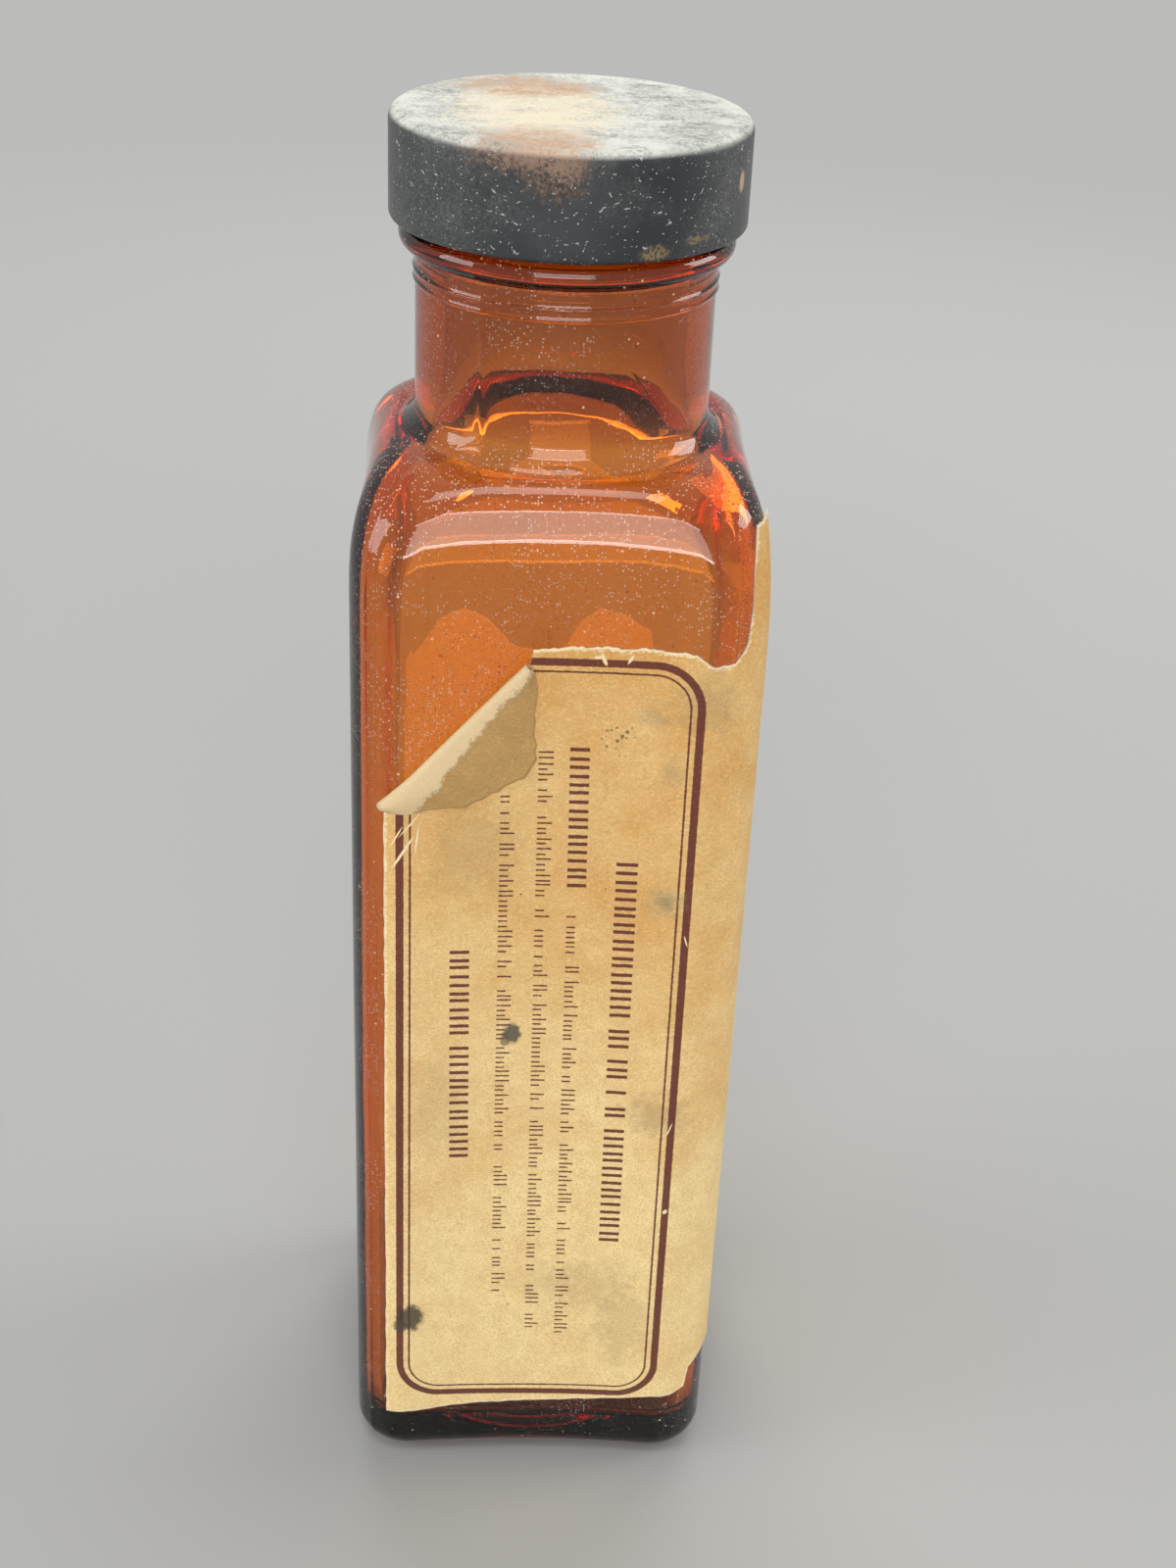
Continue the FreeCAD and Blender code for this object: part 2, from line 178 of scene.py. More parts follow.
def inner_shoulder(angle):
    inner_corner = corner_radius - wall
    return shoulder_ring(
        angle, body_half - wall, bore_radius, shoulder_rise - wall, inner_corner,
        bore_radius - inner_corner,
    )


corner_directions = [place.xy.normalized() for place in outer_shoulder(80)]


def turned_directions(turned):
    """The ring's directions, moved round by that share of the seam's turn."""
    spin = Matrix.Rotation(seam_turn * turned, 2)
    return [spin @ aim for aim in corner_directions]


def round_ring(radius, height, turned=1.0):
    return [(aim * radius).to_3d() + Vector((0, 0, height)) for aim in turned_directions(turned)]


def blend_rings(first, last, share):
    return [a.lerp(b, share) for a, b in zip(first, last)]


def waved(ring, depth, stretch):
    """The ring moved in and out by a slow wave, as a blown surface has."""
    moved = []
    for place in ring:
        wave = noise.noise(Vector((place.x / stretch.x, place.y / stretch.y, place.z / stretch.z)))
        outward = place.xy.normalized().to_3d() if place.xy.length > 0 else Vector((0, 0, 0))
        moved.append(place + outward * (wave * depth))
    return moved


def with_seam(ring):
    """The ring with the mould's seam raised at two opposite corners."""
    in_quarter = len(corner_shares) + side_points
    raised = list(ring)
    for quarter in (0, 2):
        index = quarter * in_quarter + seam_place
        raised[index] = ring[index] + ring[index].xy.normalized().to_3d() * seam_stand
    return raised


def arc_steps(count):
    """Shares from 0 to 1, with both ends."""
    return [step / count for step in range(count + 1)]


def quarter_round(radius, count):
    """The steps round an edge of that radius, each as how far it lies in from the edge's sides."""
    turns = [share * math.pi / 2 for share in arc_steps(count)]
    return [(radius * (1 - math.sin(turn)), radius * (1 - math.cos(turn))) for turn in turns]


outside = []

# the base, from the middle of its hollow out to the heel
for radius in (1, 4, 7, 10, 12.2):
    outside.append(round_ring(radius * MM, push_up_depth, 0))
for out, down_by in ((0.0, 0.02), (0.5, 0.35), (1.0, 0.85), (1.5, 1.1), (2.2, 1.19), (3.0, 1.2)):
    outside.append(round_ring(push_up_radius + out * MM, push_up_depth - down_by * MM, 0))
heel_foot = square_ring(body_half - heel_radius, corner_radius - heel_radius, panel_sink, 0)
outside.append(blend_rings(outside[-1], heel_foot, 0.5))
for inset, height in quarter_round(heel_radius, 9):
    outside.append(square_ring(body_half - inset, corner_radius - inset, panel_sink, height))

# the walls and the shoulder
walls_from = heel_radius
for share in arc_steps(24)[1:-1]:
    height = walls_from + (shoulder_start - walls_from) * share
    outside.append(square_ring(body_half, corner_radius, panel_sink, height))
for angle in (0, 3, 6, 10, 14, 19, 24, 30, 36, 42, 48, 54, 60, 66, 72):
    outside.append(outer_shoulder(angle))

# the crown and the hollow curve up to the neck, which starts higher at the corners
crown = outside[-1]
foot_gain = 11.0


def flare_ring(share):
    ring = []
    for aim in turned_directions(share * share * (3 - 2 * share)):
        cornerness = (1 - math.cos(4 * math.atan2(aim.y, aim.x))) / 2
        turn = math.radians((flare_turn - foot_gain * cornerness) * (1 - share))
        radius = neck_radius + flare_radius * (1 - math.cos(turn))
        height = flare_top - flare_radius * math.sin(turn)
        ring.append((aim * radius).to_3d() + Vector((0, 0, height)))
    return ring


for share in (0.3, 0.6, 0.85):
    outside.append(blend_rings(crown, flare_ring(0), share))
for share in arc_steps(8):
    outside.append(flare_ring(share))
for height in (148, 150.5, 153, 155.5, 158, 159.6):
    outside.append(round_ring(neck_radius, height * MM))

# the parting ring, whose two edges stand a little higher than its middle
for rise, stand in (
    (-0.85, 0), (-0.7, 0.7), (-0.6, 1), (-0.45, 0.8), (-0.2, 0.55), (0.2, 0.55), (0.45, 0.8),
    (0.6, 1), (0.7, 0.8), (0.85, 0.35),
):
    outside.append(round_ring(neck_radius + ring_stand * stand, ring_height + rise * MM))
recess = neck_radius + 0.1 * MM
for height in (162.0, 163.0, 163.4):
    outside.append(round_ring(recess, height * MM))

# the bead, as a half circle, and the finish with the ridge of its screw thread
bead_centre = bead_radius - bead_round
for share in arc_steps(12):
    turn = (share - 0.5) * math.pi
    outside.append(round_ring(
        bead_centre + bead_round * math.cos(turn), bead_height + bead_round * math.sin(turn)
    ))
finish_foot = bead_height + bead_round + 0.25 * MM
finish_top = lip_height - lip_round
for share in arc_steps(30):
    height = finish_foot + (finish_top - finish_foot) * share
    ring = round_ring(finish_radius, height)
    for index, place in enumerate(ring):
        around = (math.atan2(place.x, -place.y) / math.tau) % 1
        for whole in (0, 1):
            travel = around + whole
            if travel > thread_turns:
                continue
            middle = thread_foot + travel * thread_pitch
            fade = min(1, travel / thread_run_out, (thread_turns - travel) / thread_run_out)
            swell = math.exp(-(((height - middle) / thread_half_width) ** 4))
            ring[index] = place + place.xy.normalized().to_3d() * (thread_stand * fade * swell)
    outside.append(ring)
for below, inset in quarter_round(lip_round, 6)[1:]:
    outside.append(round_ring(finish_radius - inset, lip_height - below))
outside = [with_seam(waved(ring, outer_wave, outer_wave_reach)) for ring in outside]

# the inside, from the lip down
inside = []
for outset, below in quarter_round(lip_round, 6):
    inside.append(round_ring(mouth_radius + outset, lip_height - below))
for radius, height in ((13, 172), (13, 168.5), (13.05, 167.2), (13.5, 165.2), (13.95, 163.2)):
    inside.append(round_ring(radius * MM, height * MM))
for height, turned in ((161, 0.9), (158.5, 0.6), (156, 0.3), (153.5, 0.1), (151.5, 0)):
    inside.append(round_ring(bore_radius, height * MM, turned))
for radius, height in (
    (14.04, 150), (14.14, 148.4), (14.34, 146.8), (14.64, 145.2), (15.06, 143.7), (15.6, 142.3),
):
    inside.append(round_ring(radius * MM, height * MM, 0))
for angle in (70, 64, 58, 52, 46, 40, 34, 28, 22, 16, 11, 7, 3, 0):
    inside.append(inner_shoulder(angle))
inner_top = shoulder_start
inner_low = base_glass + inner_heel_radius
for share in arc_steps(30)[1:]:
    height = inner_top + (inner_low - inner_top) * share
    inside.append(square_ring(body_half - wall, corner_radius - wall, panel_sink, height))
for rise, inset in quarter_round(inner_heel_radius, 7)[1:]:
    half, corner = body_half - wall - inset, corner_radius - wall - inset
    inside.append(square_ring(half, corner, panel_sink, base_glass + rise))
floor_edge = inside[-1]
floor_middle = round_ring(1 * MM, base_glass + 0.5 * MM, 0)
for share in (0.25, 0.5, 0.75, 0.95, 1):
    inside.append(blend_rings(floor_edge, floor_middle, share))
inside = [waved(ring, inner_wave, inner_wave_reach) for ring in inside]


def grow_shell(name, rings):
    """A closed shell: a circle takes the first ring's place, is extruded once for each ring after
    it, and both ends are drawn together to a point."""
    bpy.ops.object.select_all(action="DESELECT")
    bpy.ops.mesh.primitive_circle_add(vertices=len(rings[0]), radius=1 * MM)
    shell = bpy.context.object
    shell.name = shell.data.name = name
    bpy.ops.object.mode_set(mode="EDIT")
    bpy.ops.mesh.select_mode(type="VERT")
    bpy.ops.mesh.select_all(action="SELECT")
    for index, ring in enumerate(rings):
        if index > 0:
            bpy.ops.mesh.extrude_region_move()
        edited = bmesh.from_edit_mesh(shell.data)
        edited.verts.ensure_lookup_table()
        for vert, place in zip(edited.verts[-len(ring):], ring):
            vert.co = place
        bmesh.update_edit_mesh(shell.data)
    bpy.ops.mesh.extrude_region_move()
    bpy.ops.mesh.merge(type="CENTER")
    bpy.ops.mesh.select_all(action="DESELECT")
    edited = bmesh.from_edit_mesh(shell.data)
    edited.verts.ensure_lookup_table()
    for vert in edited.verts[:len(rings[0])]:
        vert.select = True
    edited.select_flush_mode()
    bmesh.update_edit_mesh(shell.data)
    bpy.ops.mesh.extrude_region_move()
    bpy.ops.mesh.merge(type="CENTER")
    bpy.ops.mesh.select_all(action="SELECT")
    bpy.ops.mesh.normals_make_consistent(inside=False)
    bpy.ops.object.mode_set(mode="OBJECT")
    bpy.ops.object.shade_smooth()
    return shell


glass_bottle = grow_shell("glass_bottle_blown", outside + inside)


def add_node(tree, kind, values=(), links=(), **settings):
    """A node with its settings, its sockets' values and what feeds its sockets."""
    node = tree.nodes.new(kind)
    for key, value in settings.items():
        setattr(node, key, value)
    for socket, value in dict(values).items():
        node.inputs[socket].default_value = value
    for socket, source in dict(links).items():
        tree.links.new(source, node.inputs[socket])
    return node


def new_material(name, values=()):
    """A material with its principled shader and its values, its output and object coordinates."""
    material = bpy.data.materials.new(name)
    material.use_nodes = True
    tree = material.node_tree
    tree.nodes.clear()
    shader = add_node(tree, "ShaderNodeBsdfPrincipled", values)
    output = add_node(tree, "ShaderNodeOutputMaterial", links={"Surface": shader.outputs["BSDF"]})
    place = add_node(tree, "ShaderNodeTexCoord").outputs["Object"]
    return material, tree, shader, output, place


def tree_of(*values):
    """The node tree of the first socket among the values."""
    return next(value.id_data for value in values if isinstance(value, bpy.types.NodeSocket))


def fill(socket, value):
    """Gives a socket what feeds it, which is another socket or a plain value."""
    if isinstance(value, bpy.types.NodeSocket):
        socket.id_data.links.new(value, socket)
    else:
        socket.default_value = value


def add_math(operation, *values, clamp=False):
    """Arithmetic on up to three numbers, each a socket or a plain value."""
    node = add_node(tree_of(*values), "ShaderNodeMath", operation=operation, use_clamp=clamp)
    for socket, value in zip(node.inputs, values):
        fill(socket, value)
    return node.outputs[0]


def plus(first, second, clamp=False):
    return add_math("ADD", first, second, clamp=clamp)


def minus(first, second):
    return add_math("SUBTRACT", first, second)


def times(first, second, clamp=False):
    return add_math("MULTIPLY", first, second, clamp=clamp)


def larger(first, second):
    return add_math("MAXIMUM", first, second)


def away(first, second):
    """How far two numbers are apart."""
    return add_math("ABSOLUTE", minus(first, second))


def hypotenuse(first, second):
    return add_math("SQRT", plus(times(first, first), times(second, second)))


def add_vector(operation, *values):
    """Arithmetic on vectors. Its outputs are a vector and, where it makes one, a number."""
    node = add_node(tree_of(*values), "ShaderNodeVectorMath", operation=operation)
    for socket, value in zip(node.inputs, values):
        fill(socket, value)
    return node.outputs


def split(vector):
    """The x, y and z of a vector."""
    return add_node(tree_of(vector), "ShaderNodeSeparateXYZ", links={0: vector}).outputs


def facing_up(tree):
    """How far the surface faces up, from -1 to 1."""
    return split(add_node(tree, "ShaderNodeNewGeometry").outputs["Normal"])["Z"]


def add_range(value, low, high, start=0.0, end=1.0):
    """The value's run from low to high, stretched to start and end and held there."""
    return add_node(
        tree_of(value), "ShaderNodeMapRange", {1: low, 2: high, 3: start, 4: end}, {0: value},
        interpolation_type="SMOOTHSTEP",
    ).outputs[0]


def add_noise(place, size, detail=3.0, roughness=0.55, stretch=(1, 1, 1)):
    """Noise whose grain has that size in metres, stretched along the axes."""
    tree = tree_of(place)
    mapping = add_node(tree, "ShaderNodeMapping", {"Scale": stretch}, {"Vector": place})
    return add_node(
        tree, "ShaderNodeTexNoise", {"Scale": 1 / size, "Detail": detail, "Roughness": roughness},
        {"Vector": mapping.outputs[0]},
    ).outputs["Fac"]


def add_specks(place, size, share, largest):
    """Round specks: one in each cell of that size where chance allows, none wider than largest,
    which is a share of the cell."""
    tree = tree_of(place)
    cells = add_node(tree, "ShaderNodeTexVoronoi", {"Scale": 1 / size}, {"Vector": place})
    chance = add_node(tree, "ShaderNodeSeparateColor", links={0: cells.outputs["Color"]})
    radius = add_range(chance.outputs[0], 1 - share, 1, 0, largest)
    return add_range(minus(radius, cells.outputs["Distance"]), 0, largest / 3)


def add_mix(share, first, second):
    """A colour between two, each a socket or a plain colour."""
    node = add_node(tree_of(share, first, second), "ShaderNodeMix", data_type="RGBA")
    fill(node.inputs[0], share)
    for socket, value in ((node.inputs[6], first), (node.inputs[7], second)):
        fill(socket, (*value, 1) if isinstance(value, tuple) else value)
    return node.outputs[2]


def add_bump(height, distance, under=None):
    """A bump of that depth in metres, over the normal of another bump where one is given."""
    links = {"Height": height} if under is None else {"Height": height, "Normal": under}
    return add_node(tree_of(height), "ShaderNodeBump", {"Distance": distance}, links).outputs[0]


glass_dust = (0.80, 0.52, 0.28)
absorption_density = 620.0
absorption_colour = (0.955, 0.61, 0.0, 1)
# the colour of the painted shade on the neck, the finish, the heel and the edges seen aslant
painted_glass_shade = (0.10, 0.05, 0.03)
film_share = 0.012
amber_glass, tree, shader, output, place = new_material(
    "amber_glass", {"Transmission Weight": 1, "IOR": 1.52}
)
settled = add_range(facing_up(tree), 0.1, 0.9)
coarse_dust = add_specks(place, 0.95 * MM, 0.14, 0.2)
fine_dust = add_specks(place, 0.34 * MM, 0.85, 0.42)
patchy = add_noise(place, 9 * MM, 4, 0.6)
film = times(add_range(patchy, 0.35, 0.65), plus(settled, 0.45))
speck = larger(coarse_dust, times(fine_dust, film))
cover = plus(speck, times(film, film_share), clamp=True)

# painted shade: the neck, the finish under the cap and the heel are painted darker, and so is glass
# seen aslant at its edges
level = split(place)["Z"]
aslant = add_node(tree, "ShaderNodeLayerWeight", {"Blend": 0.5}).outputs["Facing"]
painted_dark_zones = larger(
    add_range(level, 145 * MM, 151 * MM, 0, 0.32),
    larger(
        add_range(level, 163 * MM, 166 * MM, 0, 0.72), add_range(level, 4 * MM, 10 * MM, 0.88, 0)
    ),
)
painted_shade = larger(painted_dark_zones, add_range(aslant, 0.62, 0.95, 0, 0.9))
painted_shade_tint = add_mix(painted_shade, (1, 1, 1), painted_glass_shade)
fill(shader.inputs["Base Color"], add_mix(cover, painted_shade_tint, glass_dust))
fill(shader.inputs["Transmission Weight"], minus(1, times(cover, 0.8)))
fill(shader.inputs["Roughness"], add_range(cover, 0, 1, 0.015, 0.6))
waves = add_noise(place, 7 * MM, 2, 0.5, (1, 1, 0.5))
fill(shader.inputs["Normal"], add_bump(waves, 0.06 * MM))
absorption = add_node(
    tree, "ShaderNodeVolumeAbsorption", {"Density": absorption_density, "Color": absorption_colour}
)
fill(output.inputs["Volume"], absorption.outputs[0])
glass_bottle.data.materials.append(amber_glass)
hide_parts("glass_bottle")
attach(glass_bottle, "bottle")


# Screw cap
# A smooth closure of dark phenolic resin, moulded in one piece with its thread inside. Years on a
# shelf have left it grey with dust, with a cream and rust patch that spills over its front edge.

cap_low, cap_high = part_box("screw_cap")
cap_radius = cap_high.x
cap_rim, cap_top = cap_low.z, cap_high.z
cap_inside = 18.95 * MM
cap_crown = 1.6 * MM
cap_top_round = 1.3 * MM
cap_rim_round = 0.6 * MM
cap_thread_stand = 0.85 * MM
cap_thread_half_width = 0.7 * MM
ceiling_round = 0.6 * MM
top_dish = 0.12 * MM
cap_points = 144


def lathe_ring(radius, height):
    ring = []
    for step in range(cap_points):
        angle = step * math.tau / cap_points
        ring.append(Vector((radius * math.cos(angle), radius * math.sin(angle), height)))
    return ring


ceiling = cap_top - cap_crown
cap_rings = [lathe_ring(radius * MM, ceiling) for radius in (1, 6, 12, 16, 18.2)]
for inset, below in quarter_round(ceiling_round, 4):
    cap_rings.append(lathe_ring(cap_inside - inset, ceiling - below))
skirt_top = ceiling - 1.2 * MM
skirt_low = cap_rim + 0.5 * MM
for share in arc_steps(24):
    height = skirt_top + (skirt_low - skirt_top) * share
    ring = lathe_ring(cap_inside, height)
    for index, spot in enumerate(ring):
        around = (math.atan2(spot.x, -spot.y) / math.tau) % 1
        for whole in (0, 1):
            travel = around + whole
            middle = skirt_low + 1.2 * MM + travel * thread_pitch
            swell = math.exp(-(((height - middle) / cap_thread_half_width) ** 4))
            run_out = min(travel, thread_turns - travel) / thread_run_out
            fade = max(0, min(1, run_out))
            inward = spot.xy.normalized().to_3d() * (cap_thread_stand * fade * swell)
            ring[index] = ring[index] - inward
    cap_rings.append(ring)
cap_rings.append(lathe_ring(cap_inside, cap_rim + 0.15 * MM))
cap_rings.append(lathe_ring(cap_inside + 0.15 * MM, cap_rim))
for inset, rise in quarter_round(cap_rim_round, 5):
    cap_rings.append(lathe_ring(cap_radius - inset, cap_rim + rise))
for share in arc_steps(8)[1:]:
    low, high = cap_rim + cap_rim_round, cap_top - cap_top_round
    cap_rings.append(lathe_ring(cap_radius, low + (high - low) * share))
for below, inset in quarter_round(cap_top_round, 9)[1:]:
    cap_rings.append(lathe_ring(cap_radius - inset, cap_top - below))
for radius in (18, 16, 13, 10, 7, 4, 1):
    cap_rings.append(lathe_ring(radius * MM, cap_top - top_dish * (1 - radius / 18)))
screw_cap = grow_shell("screw_cap_moulded", cap_rings)

resin = (0.020, 0.023, 0.026)
resin_grey = (0.14, 0.142, 0.138)
dust_grey = (0.80, 0.80, 0.73)
dust_white = (0.72, 0.72, 0.68)
dust_cream = (0.92, 0.82, 0.62)
rust_tan = (0.60, 0.37, 0.23)
rust_brown = (0.29, 0.19, 0.135)
chip_tan = (0.5, 0.33, 0.22)
crust_brown = (0.26, 0.18, 0.085)
black_phenolic, tree, shader, output, place = new_material("black_phenolic")
grain = add_noise(place, 1.1 * MM, 5, 0.7)
clouds = add_noise(place, 7 * MM, 4, 0.6)
fine_grain = add_noise(place, 0.28 * MM, 3, 0.7)

# dust lies all over the top, in streaks, and thins out down the skirt
on_top = add_range(facing_up(tree), 0.25, 0.8)
streaks = add_noise(place, 3.4 * MM, 5, 0.75, (0.7, 1.2, 1))
crumb_grain = add_noise(place, 0.45 * MM, 3, 0.8)
lying = plus(times(streaks, 0.5), times(crumb_grain, 0.5))
top_dust = times(
    on_top, plus(add_range(lying, 0.36, 0.56, 0.4, 1.0), add_range(clouds, 0.4, 0.7, -0.12, 0.2)),
    clamp=True,
)
# the grey haze is partly dust in clouds and partly a painted sheen that makes the cap greyer towards
# its left and right sides
sideways_for_sheen = away(split(place)["X"], 2 * MM)
haze_and_side_sheen = times(
    plus(add_range(clouds, 0.35, 0.75, -0.1, 0.4), add_range(sideways_for_sheen, 3 * MM, 20 * MM, 0, 0.45)),
    add_range(fine_grain, 0.38, 0.62, 0.1, 1), clamp=True,
)
colour = add_mix(haze_and_side_sheen, resin, resin_grey)
lint_curl = add_node(
    tree, "ShaderNodeTexNoise", {"Scale": 1 / (1.3 * MM), "Detail": 1.0}, {"Vector": place}
).outputs["Color"]
lint_place = add_vector("MULTIPLY_ADD", lint_curl, (1.7 * MM,) * 3, place)[0]
lint_long = add_node(tree, "ShaderNodeMapping", {"Scale": (1, 1, 2.6)}, {"Vector": lint_place})
lint_wide = add_node(
    tree, "ShaderNodeMapping", {"Scale": (0.4, 0.4, 1.3), "Location": (0.01, 0.02, 0.03)},
    {"Vector": lint_place},
)
specks = larger(
    larger(add_specks(place, 0.42 * MM, 0.45, 0.3), add_specks(lint_place, 0.6 * MM, 0.5, 0.2)),
    larger(
        add_specks(lint_long.outputs[0], 0.8 * MM, 0.55, 0.26),
        add_specks(lint_wide.outputs[0], 0.5 * MM, 0.5, 0.27),
    ),
)
colour = add_mix(top_dust, colour, dust_grey)
colour = add_mix(times(specks, 0.6), colour, dust_white)


def patch_mask(middle, reach, rough):
    """1 inside a soft blot round that point, with a ragged edge."""
    offset = add_vector("SUBTRACT", place, middle)[0]
    scaled = add_vector("MULTIPLY", offset, tuple(1 / size for size in reach))[0]
    far = add_vector("LENGTH", scaled)[1]
    ragged = plus(far, times(grain, rough))
    return add_range(ragged, 1.15 + rough * 0.5, 0.55 + rough * 0.5)


cream = patch_mask((-4 * MM, -1 * MM, cap_top), (10 * MM, 16 * MM, 3 * MM), 1.5)
rust_front = larger(
    patch_mask((-4.5 * MM, -17.5 * MM, cap_top), (7.5 * MM, 9 * MM, 3.2 * MM), 1.5),
    patch_mask((-2.0 * MM, -20.0 * MM, cap_top - 1.2 * MM), (3.8 * MM, 4 * MM, 4.2 * MM), 1.4),
)
rust_back = patch_mask((-5 * MM, 11 * MM, cap_top), (9 * MM, 6 * MM, 3 * MM), 1.5)
chip = patch_mask((18.4 * MM, -8.4 * MM, 173.6 * MM), (0.6 * MM, 0.9 * MM, 1.3 * MM), 0.3)
crust = times(
    larger(
        patch_mask((8.6 * MM, -18.3 * MM, 168.2 * MM), (2.0 * MM, 2 * MM, 0.9 * MM), 1.6),
        patch_mask((13.4 * MM, -15.0 * MM, 168.9 * MM), (2.2 * MM, 1.8 * MM, 0.5 * MM), 1.8),
    ),
    add_range(fine_grain, 0.42, 0.56, 0.1, 1),
)
creamy = times(times(cream, on_top), add_range(lying, 0.3, 0.6, 0.35, 1))
colour = add_mix(creamy, colour, dust_cream)
rust = larger(rust_front, times(rust_back, on_top))
rust_ground = add_mix(on_top, rust_brown, rust_tan)
speckled = times(rust, add_range(lying, 0.40, 0.58, 0.15, 0.95))
colour = add_mix(speckled, colour, rust_ground)
colour = add_mix(chip, colour, chip_tan)
colour = add_mix(times(crust, 0.85), colour, crust_brown)
fill(shader.inputs["Base Color"], colour)
covered = larger(larger(top_dust, rust), specks)
fill(shader.inputs["Roughness"], add_range(covered, 0, 0.8, 0.42, 0.95))
crumbs = times(crumb_grain, plus(covered, 0.12))
fill(shader.inputs["Normal"], add_bump(plus(crumbs, times(specks, 0.4)), 0.12 * MM))
screw_cap.data.materials.append(black_phenolic)
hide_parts("screw_cap")
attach(screw_cap, "cap")


# Cap liner
# A disc of waxed pulp board, pressed in under the cap's crown and marked by the lip that it seals.

board_tan = (0.44, 0.35, 0.22)
board_pale = (0.66, 0.57, 0.42)
board_dent = (0.24, 0.15, 0.08)
pulp_board, tree, shader, output, place = new_material("pulp_board", {"Roughness": 0.7})
far = add_vector("LENGTH", add_vector("MULTIPLY", place, (1, 1, 0))[0])[1]
lip_middle = (finish_radius + mouth_radius) / 2
dent = add_range(away(far, lip_middle), 0.8 * MM, 2.0 * MM, 1, 0)
fibre = add_noise(place, 0.5 * MM, 5, 0.7)
board = add_mix(add_range(fibre, 0.3, 0.7), board_tan, board_pale)
fill(shader.inputs["Base Color"], add_mix(times(dent, 0.6), board, board_dent))
fill(shader.inputs["Normal"], add_bump(fibre, 0.08 * MM))
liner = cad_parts["cap_liner"]
liner.data.materials.clear()
liner.data.materials.append(pulp_board)


# Wrap label
# One sheet of tan paper, printed with a maroon double border and pasted round the front, right and
# back panels. Its top is torn, a tongue stands off the shoulder, and its left corner is folded down.

paper = 0.2 * MM
paste = 0.1 * MM
label_left = 19.8 * MM
label_top = 139.4 * MM
tongue_start = 124 * MM
tongue_lean = 1.3 * MM
sheet_stand = paste + paper / 2
sheet_shares = arc_steps(24)

# the sheet's way round the bottle, from the front's left to the back's
outline = square_ring(
    body_half + sheet_stand, corner_radius + sheet_stand, panel_sink, 0, sheet_shares
)
in_quarter = len(sheet_shares) + side_points
course = outline[2 * in_quarter:] + outline[:in_quarter + len(sheet_shares)]
travelled = [0.0]
for before, after in zip(course, course[1:]):
    travelled.append(travelled[-1] + (after - before).length)


def travel_where(axis, value, past=0.0):
    """How far along its way the sheet first crosses that x or y, beyond the travel given."""
    for index in range(len(course) - 1):
        near, far = course[index][axis] - value, course[index + 1][axis] - value
        if near * far <= 0 and near != far and travelled[index + 1] > past:
            share = near / (near - far)
            return travelled[index] + share * (travelled[index + 1] - travelled[index])
    raise ValueError(f"the sheet does not reach {value}")


def on_course(travel):
    """The point and the outward direction that far along the sheet's way round the bottle."""
    index = 0
    while index < len(travelled) - 2 and travelled[index + 1] < travel:
        index += 1
    span = travelled[index + 1] - travelled[index]
    share = (travel - travelled[index]) / span
    along = (course[index + 1] - course[index]).normalized()
    return course[index].lerp(course[index + 1], share), Vector((along.y, -along.x, 0))


front_middle = travel_where(0, 0)
sheet_start = travel_where(0, -label_left)
right_start = travel_where(1, -10 * MM, front_middle)
back_start = travel_where(0, 10 * MM, right_start)
sheet_end = travel_where(0, -label_left, back_start)

# the torn edges: x and height on the front, y and height on the right panel, x again on the back
crease_low = (-19.8, 104.6)
crease_high = (-3.2, 123.0)
front_top = (
    crease_low, crease_high, (-2.8, 124), (3.2, 124.8), (12, 124.8), (15.6, 124.1), (17.7, 123.2),
    (20, 122.9), (21.3, 125.2), (21.8, 129.7), (21.9, 134.5), (22.4, 139.1),
)
right_top = (
    (-17.5, 139.3), (-13, 136.8), (-8, 131), (-2, 127.8), (5, 123.6), (11, 115.4), (17, 103.6),
    (21, 98.6),
)
back_top = (
    (16.5, 98.6), (14.2, 101.4), (13.6, 105.6), (10.6, 108.2), (7.3, 109.1), (4.6, 107.2),
    (2.6, 103.4), (-1.1, 102.4), (-5, 103.8), (-7.7, 107.2), (-11.2, 108.6), (-14.4, 107),
    (-16.8, 102.6), (-19.8, 100.8),
)
front_low = (
    (-19.8, 7.9), (-9, 9.4), (7.9, 10.4), (19.3, 11.6), (21, 12.3), (21.4, 15.6), (23.6, 17.6),
)
right_low = ((-17, 17.9), (-11, 17.5), (-5, 16.2), (-2.5, 12.8), (-0.5, 8.6), (2, 7.8), (20, 7.8))
back_low = ((14, 7.8), (-19.8, 7.8))


def edge_on_sheet(front, side, back):
    """A torn edge as travel and height, from its stretches on the three panels."""
    edge = [(travel_where(0, x * MM), z * MM) for x, z in front]
    edge += [(travel_where(1, y * MM, front_middle), z * MM) for y, z in side]
    return edge + [(travel_where(0, x * MM, right_start), z * MM) for x, z in back]


top_edge = edge_on_sheet(front_top, right_top, back_top)
low_edge = edge_on_sheet(front_low, right_low, back_low)
top_edge[0] = (sheet_start, top_edge[0][1])
low_edge[0] = (sheet_start, low_edge[0][1])


def height_on(edge, travel):
    for (near, low), (far, high) in zip(edge, edge[1:]):
        if near <= travel <= far:
            return low + (high - low) * (travel - near) / (far - near)
    return edge[-1][1] if travel > edge[-1][0] else edge[0][1]


def ragged(travel, seed, size, depth):
    return noise.noise(Vector((travel / size, seed, 0.3))) * depth


# the folded corner: its crease, and how far its free edge reaches from there
crease = Vector((crease_high[0] - crease_low[0], crease_high[1] - crease_low[1])) * MM
crease_length = crease.length
crease_along = crease.normalized()
crease_across = Vector((crease_along.y, -crease_along.x))
flap_reach = (
    (0, 0.9), (1.2, 2.4), (3.5, 4.1), (6.6, 7.0), (14.1, 9.4), (16.8, 8.7), (18.9, 6.3), (24.2, 1.6),
    (24.8, 0.5),
)
fold_round = 0.55 * MM

